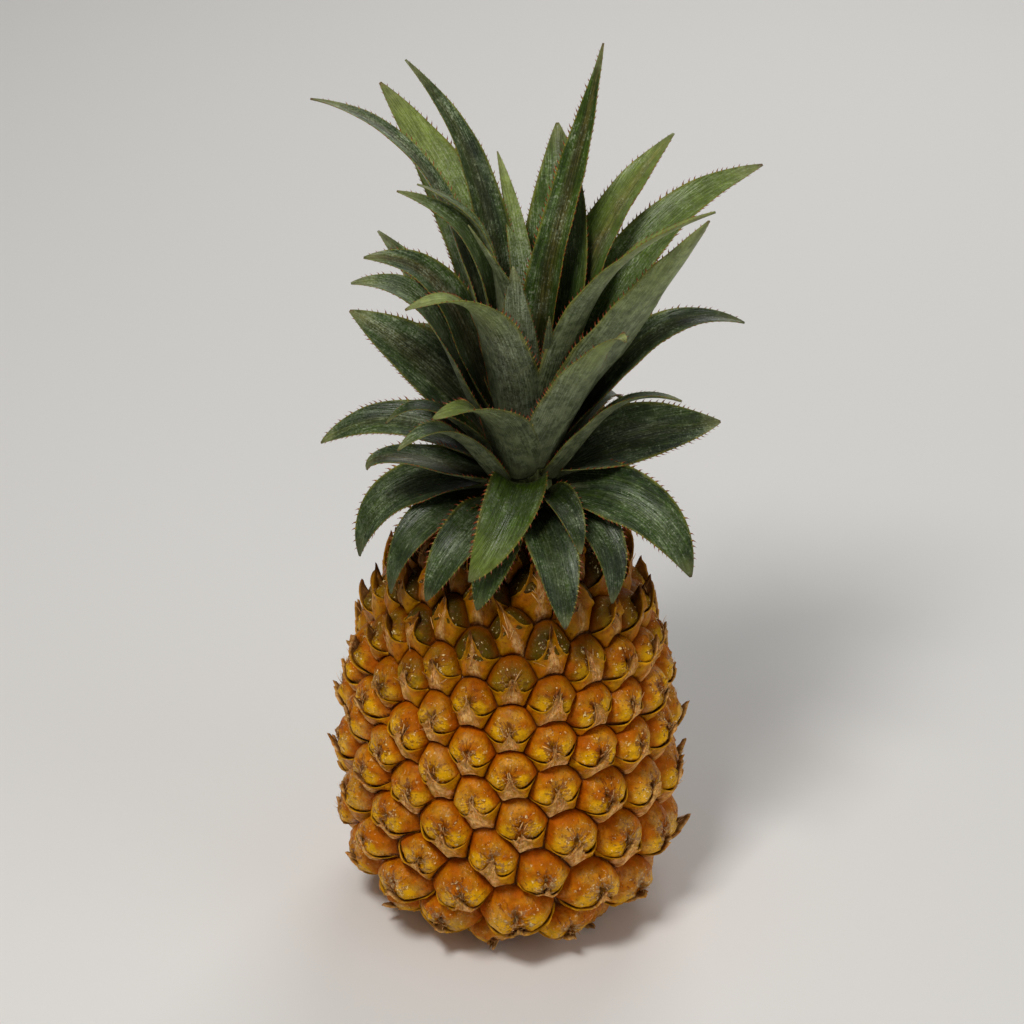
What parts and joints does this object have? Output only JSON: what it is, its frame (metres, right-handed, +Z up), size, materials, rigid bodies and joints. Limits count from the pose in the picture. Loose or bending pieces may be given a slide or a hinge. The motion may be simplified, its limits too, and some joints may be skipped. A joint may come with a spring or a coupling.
{
  "type": "pineapple",
  "caption": "Whole fresh pineapple standing upright: barrel-shaped fruit with a skin of domed eyes in crossing spirals, and a crown of spiny, channelled, arching leaves.",
  "frame": {"origin": "middle of the flat that the fruit stands on, under the middle of the fruit", "axes": "+Z up through the crown, the fruit's long axis; -Y is the front, the side with the low drooping middle leaf; +X to the right seen from the front"},
  "size_m": [0.1425, 0.1144, 0.2939],
  "materials": {
    "rind": "fresh orange-yellow pineapple skin, waxy and slightly glossy on the eyes, dry at the bract tips",
    "stalk_fibre": "pale, dry, fibrous plant stem",
    "leaf": "tough grey-green leaf with a dull waxy bloom"
  },
  "bodies": {
    "root": {"fruit": "rind", "cut_stalk": "stalk_fibre", "crown_stem": "stalk_fibre", "leaf_01": "leaf", "leaf_02": "leaf", "leaf_03": "leaf", "leaf_04": "leaf", "leaf_05": "leaf", "leaf_06": "leaf", "leaf_07": "leaf", "leaf_08": "leaf", "leaf_09": "leaf", "leaf_10": "leaf", "leaf_11": "leaf", "leaf_12": "leaf", "leaf_13": "leaf", "leaf_14": "leaf", "leaf_15": "leaf", "leaf_16": "leaf", "leaf_17": "leaf", "leaf_18": "leaf", "leaf_19": "leaf", "leaf_20": "leaf", "leaf_21": "leaf", "leaf_22": "leaf", "leaf_23": "leaf", "leaf_24": "leaf", "leaf_25": "leaf", "leaf_26": "leaf", "leaf_27": "leaf", "leaf_28": "leaf", "leaf_29": "leaf", "leaf_30": "leaf", "leaf_31": "leaf", "leaf_32": "leaf", "leaf_33": "leaf", "leaf_34": "leaf", "leaf_35": "leaf", "leaf_36": "leaf", "leaf_37": "leaf", "leaf_38": "leaf", "leaf_39": "leaf", "leaf_40": "leaf", "leaf_41": "leaf", "leaf_42": "leaf", "leaf_43": "leaf", "leaf_44": "leaf", "leaf_45": "leaf", "leaf_46": "leaf", "leaf_47": "leaf", "leaf_48": "leaf", "leaf_49": "leaf", "leaf_50": "leaf"}
  },
  "joints": []
}
